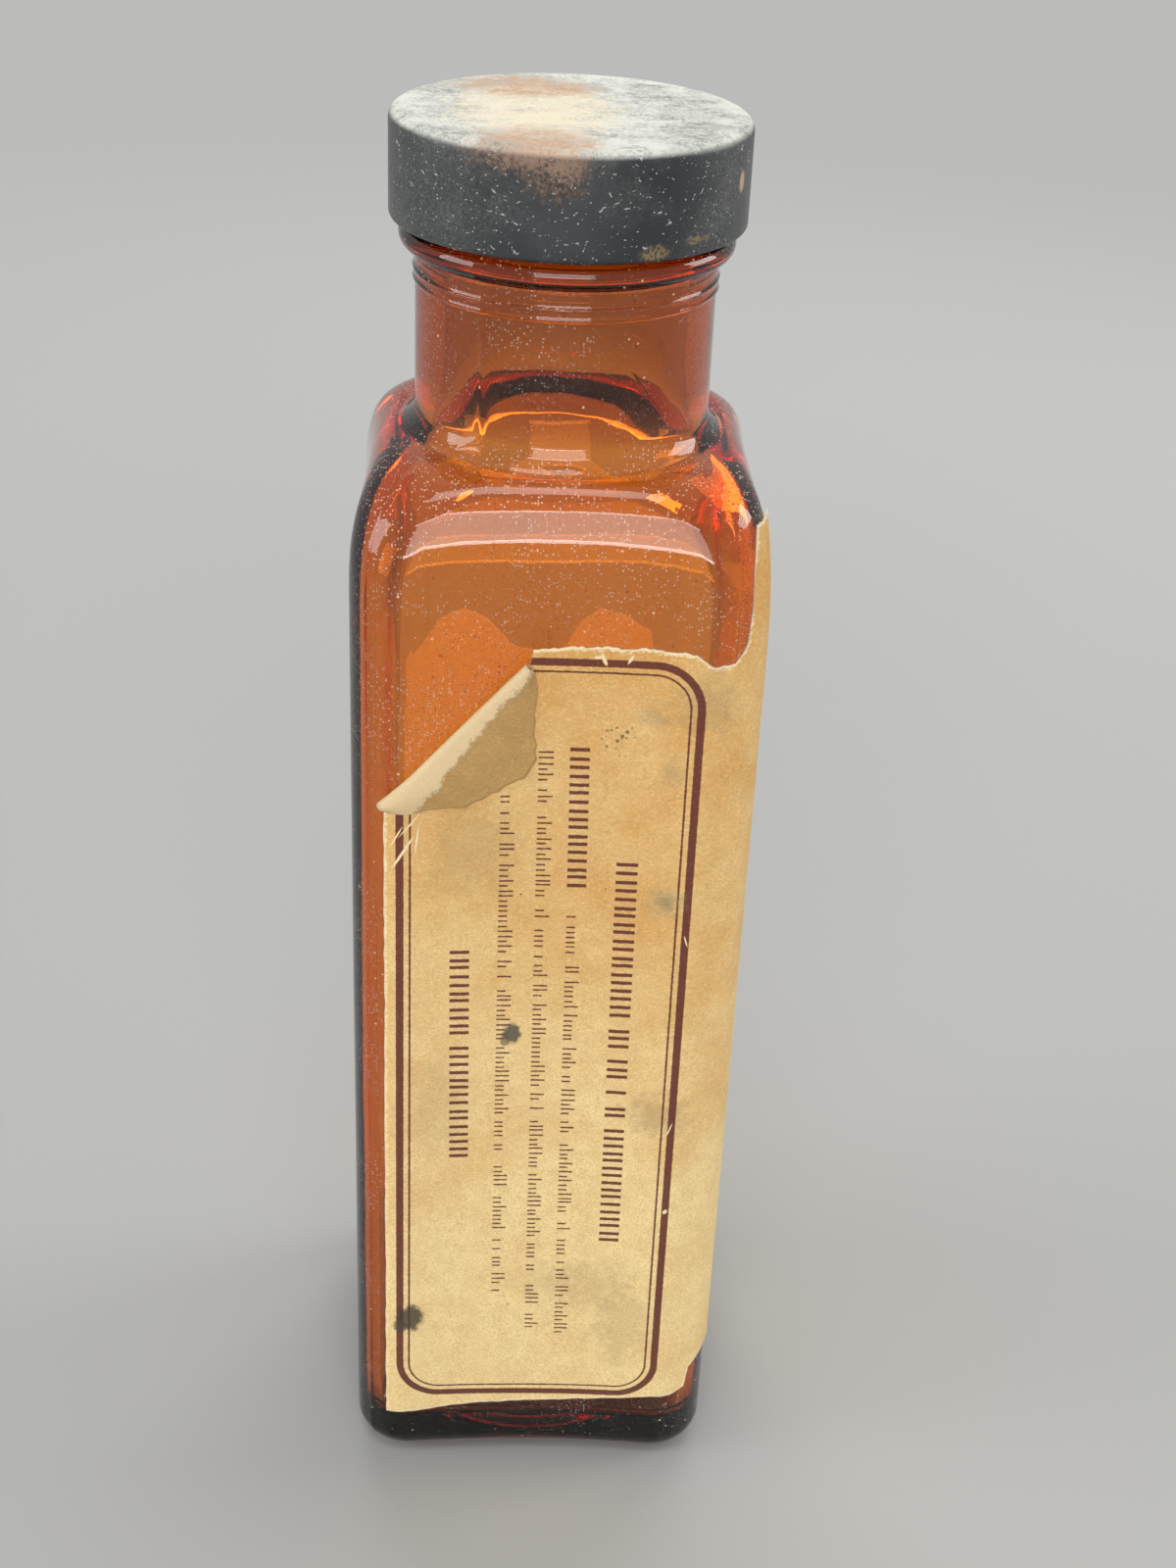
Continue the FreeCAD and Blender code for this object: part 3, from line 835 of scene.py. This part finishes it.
# the points lie closer where the edge tears up the side of the tongue
column_gap = 0.45 * MM
tear_gap = 0.15 * MM
tear_travel = travel_where(0, 21.9 * MM)
corner_travel = travel_where(0, crease_high[0] * MM)
travels = [sheet_start]
while travels[-1] < sheet_end:
    in_tear = abs(travels[-1] - tear_travel) < 1.5 * MM
    travels.append(travels[-1] + (tear_gap if in_tear else column_gap))
travels[-1] = sheet_end
corner_column = min(range(len(travels)), key=lambda index: abs(travels[index] - corner_travel))
travels[corner_column] = corner_travel
edge_rows = [offset * MM for offset in (0, 0.2, 0.45, 0.8, 1.3, 2.0, 3.0, 4.5)]
inner_rows = 58


def sheet_rows(travel):
    """The heights of a column's points, close together beside its two edges."""
    low = height_on(low_edge, travel) + ragged(travel, 4.1, 1.4 * MM, 0.16 * MM)
    high = height_on(top_edge, travel)
    if travel > corner_travel + 0.01 * MM:
        fine = ragged(travel, 1.7, 0.7 * MM, 0.32 * MM)
        high += fine + ragged(travel, 8.2, 3.1 * MM, 0.45 * MM)
    else:
        high -= fold_round / crease_along.x
    low_part = [low + offset for offset in edge_rows]
    high_part = [high - offset for offset in reversed(edge_rows)]
    first, last = low_part[-1], high_part[0]
    middle = [first + (last - first) * step / (inner_rows + 1) for step in range(1, inner_rows + 1)]
    return low_part + middle + high_part


def cockle(travel, height):
    """How far the paper stands off where its paste has let go."""
    slow = noise.noise(Vector((travel / (14 * MM), height / (23 * MM), 2.2)))
    quick = noise.noise(Vector((travel / (4 * MM), height / (9 * MM), 6.1)))
    return (max(0, slow) * 0.16 + (quick + 1) * 0.03) * MM


def paper_point(travel, height, stand=0.0):
    place, outward = on_course(travel)
    over = max(0, height - tongue_start) / (label_top - tongue_start)
    stand += cockle(travel, height) - tongue_lean * over * over
    return place + outward * stand + Vector((0, 0, height))


def add_paper_grid(name, columns, rows):
    bpy.ops.object.select_all(action="DESELECT")
    bpy.ops.mesh.primitive_grid_add(
        x_subdivisions=columns - 1, y_subdivisions=rows - 1, size=1 * MM
    )
    grid = bpy.context.object
    grid.name = grid.data.name = name
    grid.data.attributes.new("on_sheet", "FLOAT_VECTOR", "POINT")
    return grid


def place_points(grid, columns, rows, formula):
    """Puts each point of the grid where the formula says, with its place on the flat sheet."""
    mesh = grid.data
    for point, tag in zip(mesh.vertices, mesh.attributes["on_sheet"].data):
        column = round((point.co.x / MM + 0.5) * (columns - 1))
        row = round((point.co.y / MM + 0.5) * (rows - 1))
        point.co, tag.vector = formula(column, row)


columns_of_heights = [sheet_rows(travel) for travel in travels]
row_count = len(columns_of_heights[0])
outer_edge = [(travel, heights[0]) for travel, heights in zip(travels, columns_of_heights)]
upper_edge = [(travel, heights[-1]) for travel, heights in zip(travels, columns_of_heights)]
near_columns = 16


def edge_distance(column, height):
    """How far a point is from the torn edges, looked for a few columns to each side."""
    travel = travels[column]
    nearest = min(travel - sheet_start, sheet_end - travel)
    for other in range(max(0, column - near_columns), min(len(travels), column + near_columns + 1)):
        aside = travels[other] - travel
        nearest = min(nearest, math.hypot(aside, height - outer_edge[other][1]))
        if travels[other] > corner_travel:
            nearest = min(nearest, math.hypot(aside, upper_edge[other][1] - height))
    return nearest


def sheet_formula(column, row):
    travel, height = travels[column], columns_of_heights[column][row]
    spot = paper_point(travel, height)
    if column == 0:
        inward = Vector((1, 0, 0)) * abs(ragged(height, 3.3, 1.1 * MM, 0.3 * MM))
        spot = spot + inward
    return spot, (travel - front_middle, height, edge_distance(column, height))


label = add_paper_grid("wrap_label_sheet", len(travels), row_count)
place_points(label, len(travels), row_count, sheet_formula)

flap_columns = corner_column + 1
roll_rows = 8
flap_rows = roll_rows + 22


def flap_formula(column, row):
    """Over the crease in a half round, then down across the front to the flap's free edge."""
    travel = travels[column]
    start = Vector((travel - front_middle, upper_edge[column][1]))
    up_crease = (travel - sheet_start) / (corner_travel - sheet_start) * crease_length
    reach = height_on(flap_reach, up_crease / MM) * MM
    reach += ragged(up_crease, 5.5, 0.9 * MM, 0.35 * MM)
    if row <= roll_rows:
        turn = math.pi * row / roll_rows
        aside = -fold_round * math.sin(turn)
        stand = fold_round * (1 - math.cos(turn))
        gone = fold_round * turn
    else:
        share = (row - roll_rows) / (flap_rows - 1 - roll_rows)
        aside = reach * share
        settle = share * share * (3 - 2 * share)
        stand = 2 * fold_round + (1.6 * paper - 2 * fold_round) * settle
        stand += 0.35 * MM * math.sin(math.pi * share) * min(1, reach / (6 * MM))
        gone = fold_round * math.pi + aside
    spot = start + crease_across * aside
    flat = start - crease_across * gone
    free = max(0, reach - aside) if row > roll_rows else reach
    return (
        paper_point(front_middle + spot.x, spot.y, stand),
        (flat.x, flat.y, min(free, 40 * MM) + 1 * MM),
    )


flap = add_paper_grid("wrap_label_flap", flap_columns, flap_rows)
place_points(flap, flap_columns, flap_rows, flap_formula)
bpy.ops.object.select_all(action="DESELECT")
flap.select_set(True)
label.select_set(True)
bpy.context.view_layer.objects.active = label
bpy.ops.object.join()
bpy.ops.object.mode_set(mode="EDIT")
bpy.ops.mesh.select_all(action="SELECT")
bpy.ops.mesh.remove_doubles(threshold=0.01 * MM)
bpy.ops.object.mode_set(mode="OBJECT")
bpy.ops.object.shade_smooth()


def paper_ground(place, flat, edge, tan, brown, cream):
    """Old paper: its grain and mottling, brown near the top, pale fibres along a torn edge."""
    grain = add_noise(place, 0.22 * MM, 3, 0.8)
    fibres = add_noise(place, 0.6 * MM, 4, 0.7, (1, 1, 1.8))
    mottling = add_noise(place, 8 * MM, 4, 0.55)
    blotches = add_noise(place, 26 * MM, 3, 0.5)
    up = add_range(split(flat)["Y"], 10 * MM, 132 * MM, -0.12, 0.85)
    aged = plus(up, add_range(blotches, 0.3, 0.7, -0.22, 0.22), clamp=True)
    aged = plus(aged, add_range(mottling, 0.3, 0.7, -0.14, 0.2), clamp=True)
    colour = add_mix(aged, tan, brown)
    dark = tuple(channel * 0.55 for channel in brown)
    light = tuple(min(1, channel * 1.25) for channel in tan)
    clumps = add_noise(place, 2.4 * MM, 4, 0.6)
    colour = add_mix(add_range(grain, 0.36, 0.6, 0.42, 0), colour, dark)
    colour = add_mix(add_range(clumps, 0.36, 0.62, 0.12, 0), colour, dark)
    colour = add_mix(add_range(fibres, 0.48, 0.66, 0, 0.22), colour, light)
    frayed = minus(edge, times(fibres, 1.6 * MM))
    torn = add_range(frayed, -0.7 * MM, -0.25 * MM, 0.85, 0)
    return add_mix(torn, colour, cream), torn, grain, fibres


def place_on_sheet(tree):
    """The surface's place on the flat sheet: along, up, and how far from a torn edge."""
    return add_node(
        tree, "ShaderNodeAttribute", attribute_name="on_sheet", attribute_type="GEOMETRY"
    ).outputs["Vector"]


paper_tan = (0.97, 0.735, 0.36)
paper_brown = (0.74, 0.395, 0.12)
paper_cream = (0.95, 0.78, 0.49)
back_tan = (0.66, 0.40, 0.155)
back_brown = (0.52, 0.31, 0.11)
pasted_side = (0.97, 0.80, 0.50)
ink_maroon = (0.125, 0.024, 0.020)
damp_brown = (0.40, 0.26, 0.12)
speck_brown = (0.10, 0.08, 0.05)
lip_brown = (0.32, 0.22, 0.11)

aged_paper, tree, shader, output, place = new_material(
    "aged_paper", {"Roughness": 0.82, "Specular IOR Level": 0.3}
)
flat = place_on_sheet(tree)
sideways, height, edge = split(flat)
colour, torn, grain, fibres = paper_ground(place, flat, edge, paper_tan, paper_brown, paper_cream)


def sheet_blot(middle, reach, rough, hard_part=0.6, slant=0.0):
    """1 inside a blot at that place on the sheet, its middle and reach in millimetres, fading from
    its hard part out to a ragged edge. Slant leans it right by that much for a unit of height."""
    upright = minus(height, middle[1] * MM)
    leaning = add_math("MULTIPLY_ADD", upright, -slant, sideways)
    aside = times(minus(leaning, middle[0] * MM), 1 / (reach[0] * MM))
    above = times(upright, 1 / (reach[1] * MM))
    far = hypotenuse(aside, above)
    uneven = plus(far, times(minus(blot_noise, 0.5), rough))
    return add_range(uneven, hard_part, 1.1, 1, 0)


blot_noise = add_noise(place, 1.3 * MM, 4, 0.6)

# old damp has left brown tide marks and a few dark stains
for middle, reach, strength in (
    ((14.6, 59.5), (5, 4), 0.5), ((-9, 98), (7, 8), 0.3), ((6, 31), (9, 5), 0.28),
    ((12, 24), (5, 8), 0.3), ((17, 118), (5, 5), 0.4), ((-13, 60), (5, 9), 0.22),
):
    damp = times(sheet_blot(middle, reach, 1.6, 0.3), strength)
    colour = add_mix(damp, colour, damp_brown)

# the print: a thick and a thin maroon line as a border, and plain bars where the wording was
border_middle = (-0.65, 67.25)
border_half = (17.25, 55.55)
border_round = 5.5
thick_line = 0.95
thin_line = 0.26
thin_inside = 1.2


def from_middle(value, middle, half):
    return minus(away(value, middle * MM), (half - border_round) * MM)


out_aside = from_middle(sideways, border_middle[0], border_half[0])
out_above = from_middle(height, border_middle[1], border_half[1])
past_aside = larger(out_aside, 0)
past_above = larger(out_above, 0)
round_part = hypotenuse(past_aside, past_above)
straight_part = add_math("MINIMUM", larger(out_aside, out_above), 0)
from_border = minus(plus(round_part, straight_part), border_round * MM)
ink_spread = times(minus(fibres, 0.5), 0.18 * MM)


def ruled(offset, width):
    """1 on a line of that width that far inside the border's middle line."""
    edge_of = plus(away(from_border, -offset * MM), ink_spread)
    return add_range(edge_of, (width / 2 - 0.06) * MM, (width / 2 + 0.06) * MM, 1, 0)


ink = larger(ruled(0, thick_line), ruled(thin_inside, thin_line))


def printed_line(top, foot, size, pitch, stroke, gaps, low_share, seed):
    """A line of plain upright bars, from its top point to its foot. Chance leaves gaps between
    groups of bars, and makes that share of them lower than the rest."""
    lean = (foot[0] - top[0]) / (foot[1] - top[1])
    base = plus(times(minus(height, top[1] * MM), lean), (top[0] - size / 2) * MM)
    above_base = minus(sideways, base)
    steps = times(minus(top[1] * MM, height), 1 / (pitch * MM))
    within = times(add_math("FRACT", steps), pitch * MM)
    number = plus(add_math("FLOOR", steps), seed * 37.0)
    draw = add_node(tree, "ShaderNodeTexWhiteNoise", links={"W": number}, noise_dimensions="1D")
    chances = add_node(tree, "ShaderNodeSeparateColor", links={0: draw.outputs["Color"]}).outputs
    kept = add_math("GREATER_THAN", chances[0], gaps)
    shifted = add_math("MULTIPLY_ADD", chances[1], 0.25 * pitch * MM, 0.37 * pitch * MM)
    off_middle = away(within, shifted)
    bar = add_range(
        plus(off_middle, ink_spread), (stroke / 2 - 0.05) * MM, (stroke / 2 + 0.05) * MM, 1, 0
    )
    lowered = add_math("LESS_THAN", chances[2], low_share)
    tall = add_math("MULTIPLY_ADD", lowered, -0.38 * size * MM, size * MM)
    below_top = add_range(minus(tall, above_base), -0.05 * MM, 0.05 * MM)
    over_base = add_range(above_base, -0.05 * MM, 0.05 * MM)
    inside_line = times(
        add_math("GREATER_THAN", steps, 0), add_math("GREATER_THAN", height, foot[1] * MM)
    )
    marks = times(times(bar, kept), inside_line)
    return times(marks, times(below_top, over_base))


for line in (
    ((9.1, 96.9), (9.5, 37.9), 2.6, 1.2, 0.5, 0.1, 0, 1),
    ((2.9, 112.1), (3.2, 92.5), 2.3, 1.15, 0.48, 0.04, 0, 2),
    ((3.0, 90.5), (3.7, 22.3), 1.75, 0.72, 0.24, 0.18, 0.7, 3),
    ((-1.0, 112.2), (-0.3, 23.2), 1.75, 0.72, 0.24, 0.18, 0.7, 4),
    ((-5.3, 105.6), (-4.9, 29.2), 1.75, 0.72, 0.24, 0.18, 0.7, 5),
    ((-10.7, 85.4), (-10.4, 50.6), 2.4, 1.2, 0.48, 0.09, 0, 6),
):
    ink = larger(ink, printed_line(*line))

# the ink is broken by the grain and is gone where the surface has torn or been scratched
worn = add_range(grain, 0.30, 0.46, 0.8, 1)
ink = times(times(ink, worn), minus(1, torn))
for middle, reach, slant in (
    ((-17.6, 97.6), (0.22, 2.4), 0.55), ((-16.8, 101.4), (0.16, 1.8), 0.75),
    ((-18.3, 99.8), (0.14, 1.6), 0.5), ((-15.9, 99.5), (0.12, 2.2), 0.1),
    ((5.2, 123.2), (0.30, 0.85), -0.4), ((8.2, 123.4), (0.22, 0.7), 0.5),
    ((4.5, 123.5), (0.5, 0.2), 0.2), ((16.6, 44.0), (0.3, 0.4), 0.3),
    ((16.4, 57.5), (0.12, 1.3), 0.3), ((16.7, 86.0), (0.1, 0.9), -0.3),
):
    scratch = sheet_blot(middle, reach, 0.7, 0.6, slant)
    ink = times(ink, minus(1, scratch))
    colour = add_mix(times(scratch, 0.8), colour, paper_cream)
colour = add_mix(times(ink, 0.96), colour, ink_maroon)

# dark blots, and a spray of fine specks near the top
for middle, reach, rough, strength, stain in (
    ((-4.06, 71.55), (1.2, 1.6), 1.3, 0.9, (0.075, 0.07, 0.055)),
    ((-4.9, 70.4), (0.7, 1.0), 1.0, 0.7, (0.11, 0.09, 0.06)),
    ((-16.57, 25.32), (1.9, 2.5), 1.2, 0.9, (0.055, 0.045, 0.035)),
    ((-17.9, 23.6), (1.0, 1.2), 1.0, 0.75, (0.08, 0.06, 0.045)),
    ((13.8, 91.4), (3.2, 2.8), 1.4, 0.5, (0.22, 0.22, 0.13)),
    ((14.2, 91.2), (1.4, 1.1), 1.2, 0.3, (0.14, 0.14, 0.10)),
    ((11.1, 116.4), (2.8, 2.4), 1.4, 0.3, (0.28, 0.22, 0.13)),
    ((13.7, 108.8), (2.2, 2.4), 1.4, 0.3, (0.28, 0.22, 0.13)),
):
    hard_part = 0.6 if strength > 0.5 else 0.05
    mark = times(sheet_blot(middle, reach, rough, hard_part), strength)
    colour = add_mix(mark, colour, stain)
spray = times(
    add_specks(place, 0.55 * MM, 0.95, 0.5), sheet_blot((7.3, 113.4), (2.8, 2.9), 1.8, 0.35)
)
specks = larger(spray, add_specks(place, 3.4 * MM, 0.5, 0.05))
colour = add_mix(times(specks, 0.8), colour, speck_brown)
fill(shader.inputs["Base Color"], colour)
rough_paper = plus(times(grain, 0.5), times(fibres, 0.5))
under = add_bump(add_noise(place, 5 * MM, 3, 0.5), 0.12 * MM)
fill(shader.inputs["Normal"], add_bump(rough_paper, 0.07 * MM, under))

paper_back, tree, shader, output, place = new_material("aged_paper_back", {
    "Roughness": 0.85, "Specular IOR Level": 0.3, "Subsurface Radius": (1.0, 0.8, 0.6),
    "Subsurface Scale": 4 * MM,
})
flat = place_on_sheet(tree)
_, height, edge = split(flat)
colour, _, _, fibres = paper_ground(place, flat, edge, back_tan, back_brown, paper_cream)

# how far a place is past the crease: the paper that is still pasted lies short of it, is paler and
# lets light through, and the crease is worn down to a ragged line where a layer has peeled off
from_crease = add_vector("SUBTRACT", flat, (crease_low[0] * MM, crease_low[1] * MM, 0))[0]
folded = add_vector("DOT_PRODUCT", from_crease, (-crease_across.x, -crease_across.y, 0))[1]
pasted_from, pasted_to = -3.5 * MM, -1.5 * MM
pasted = add_range(folded, pasted_from, pasted_to, 1, 0)
colour = add_mix(pasted, colour, pasted_side)
peel_noise = add_noise(place, 1.4 * MM, 6, 0.85)
widening = add_range(height, 104 * MM, 121 * MM, 2.6 * MM, -0.3 * MM)
peel = minus(add_math("MULTIPLY_ADD", peel_noise, 4.2 * MM, folded), widening)
peeled = add_range(peel, 4.1 * MM, 4.7 * MM, 1, 0)
colour = add_mix(times(peeled, 0.55), colour, paper_cream)
lip = times(add_range(peel, 4.0 * MM, 4.5 * MM), add_range(peel, 4.5 * MM, 5.1 * MM, 1, 0))
colour = add_mix(times(lip, 0.35), colour, lip_brown)
fill(shader.inputs["Base Color"], colour)
fill(shader.inputs["Subsurface Weight"], add_range(folded, pasted_from, pasted_to, 0.95, 0))
under = add_bump(add_noise(place, 3 * MM, 3, 0.5), 0.15 * MM)
fill(shader.inputs["Normal"], add_bump(fibres, 0.1 * MM, under))
label.data.materials.append(aged_paper)
label.data.materials.append(paper_back)
bpy.ops.object.select_all(action="DESELECT")
label.select_set(True)
bpy.context.view_layer.objects.active = label
thickness = label.modifiers.new("thickness", "SOLIDIFY")
thickness.thickness = paper
thickness.offset = 0
thickness.material_offset = thickness.material_offset_rim = 1
bpy.ops.object.modifier_apply(modifier="thickness")
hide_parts("wrap_label")
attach(label, "bottle")


# Floor and light
# A pale plain floor that fades into a backdrop of the same tone, and broad soft lamps like windows
# round it.

backdrop_tone = (0.50, 0.50, 0.49, 1)
sky_tone = (0.80, 0.81, 0.82, 1)
sky_share = 0.42
floor_tone = (0.42, 0.42, 0.41, 1)
floor_reach = 2.2
floor_fade = (0.30, 0.80)

bpy.ops.object.select_all(action="DESELECT")
bpy.ops.mesh.primitive_circle_add(vertices=96, radius=floor_reach, fill_type="NGON")
floor = bpy.context.object
floor.name = "studio_floor"
floor_colour, tree, shader, output, place = new_material(
    "studio_floor", {"Base Color": floor_tone, "Roughness": 0.85}
)
far = add_vector("LENGTH", place)[1]
plain = add_node(tree, "ShaderNodeEmission", {"Color": backdrop_tone, "Strength": 1})
faded = add_node(
    tree, "ShaderNodeMixShader",
    links={0: add_range(far, *floor_fade), 1: shader.outputs[0], 2: plain.outputs[0]},
)
fill(output.inputs["Surface"], faded.outputs[0])
floor.data.materials.append(floor_colour)

world = bpy.data.worlds.new("studio")
world.use_nodes = True
bpy.context.scene.world = world
tree = world.node_tree
sky = tree.nodes["Background"]
sky.inputs["Color"].default_value = sky_tone
sky.inputs["Strength"].default_value = sky_share
backdrop = add_node(tree, "ShaderNodeBackground", {"Color": backdrop_tone, "Strength": 1})
ray = add_node(tree, "ShaderNodeLightPath")
seen = larger(
    ray.outputs["Is Camera Ray"],
    larger(ray.outputs["Is Glossy Ray"], ray.outputs["Is Transmission Ray"]),
)
shown = add_node(
    tree, "ShaderNodeMixShader", links={0: seen, 1: sky.outputs[0], 2: backdrop.outputs[0]}
)
tree.links.new(shown.outputs[0], tree.nodes["World Output"].inputs["Surface"])

aim_point = Vector((0, 0, 0.1))
for name, spot, width, depth, power in (
    ("front_window", Vector((-0.05, -1.20, 0.46)), 0.85, 0.66, 6.0),
    ("front_sill", Vector((-0.05, -1.15, 0.14)), 0.85, 0.05, 1.2),
    ("front_transom", Vector((-0.05, -0.95, 0.72)), 0.85, 0.05, 1.1),
    ("left_window", Vector((-1.00, -0.15, 0.42)), 0.50, 0.55, 3.6),
    ("right_window", Vector((1.00, 0.25, 0.50)), 0.50, 0.50, 4.0),
    ("ceiling_window", Vector((-0.10, -0.25, 0.95)), 0.50, 0.24, 1.4),
    ("back_window", Vector((0.15, 1.15, 0.72)), 1.50, 0.90, 14.5),
):
    lamp_data = bpy.data.lights.new(name, "AREA")
    lamp_data.shape = "RECTANGLE"
    lamp_data.size, lamp_data.size_y, lamp_data.energy = width, depth, power
    lamp = bpy.data.objects.new(name, lamp_data)
    bpy.context.scene.collection.objects.link(lamp)
    lamp.visible_camera = False
    lamp.visible_glossy = name != "back_window"
    lamp.location = spot
    lamp.rotation_euler = (aim_point - spot).to_track_quat("-Z", "Y").to_euler()
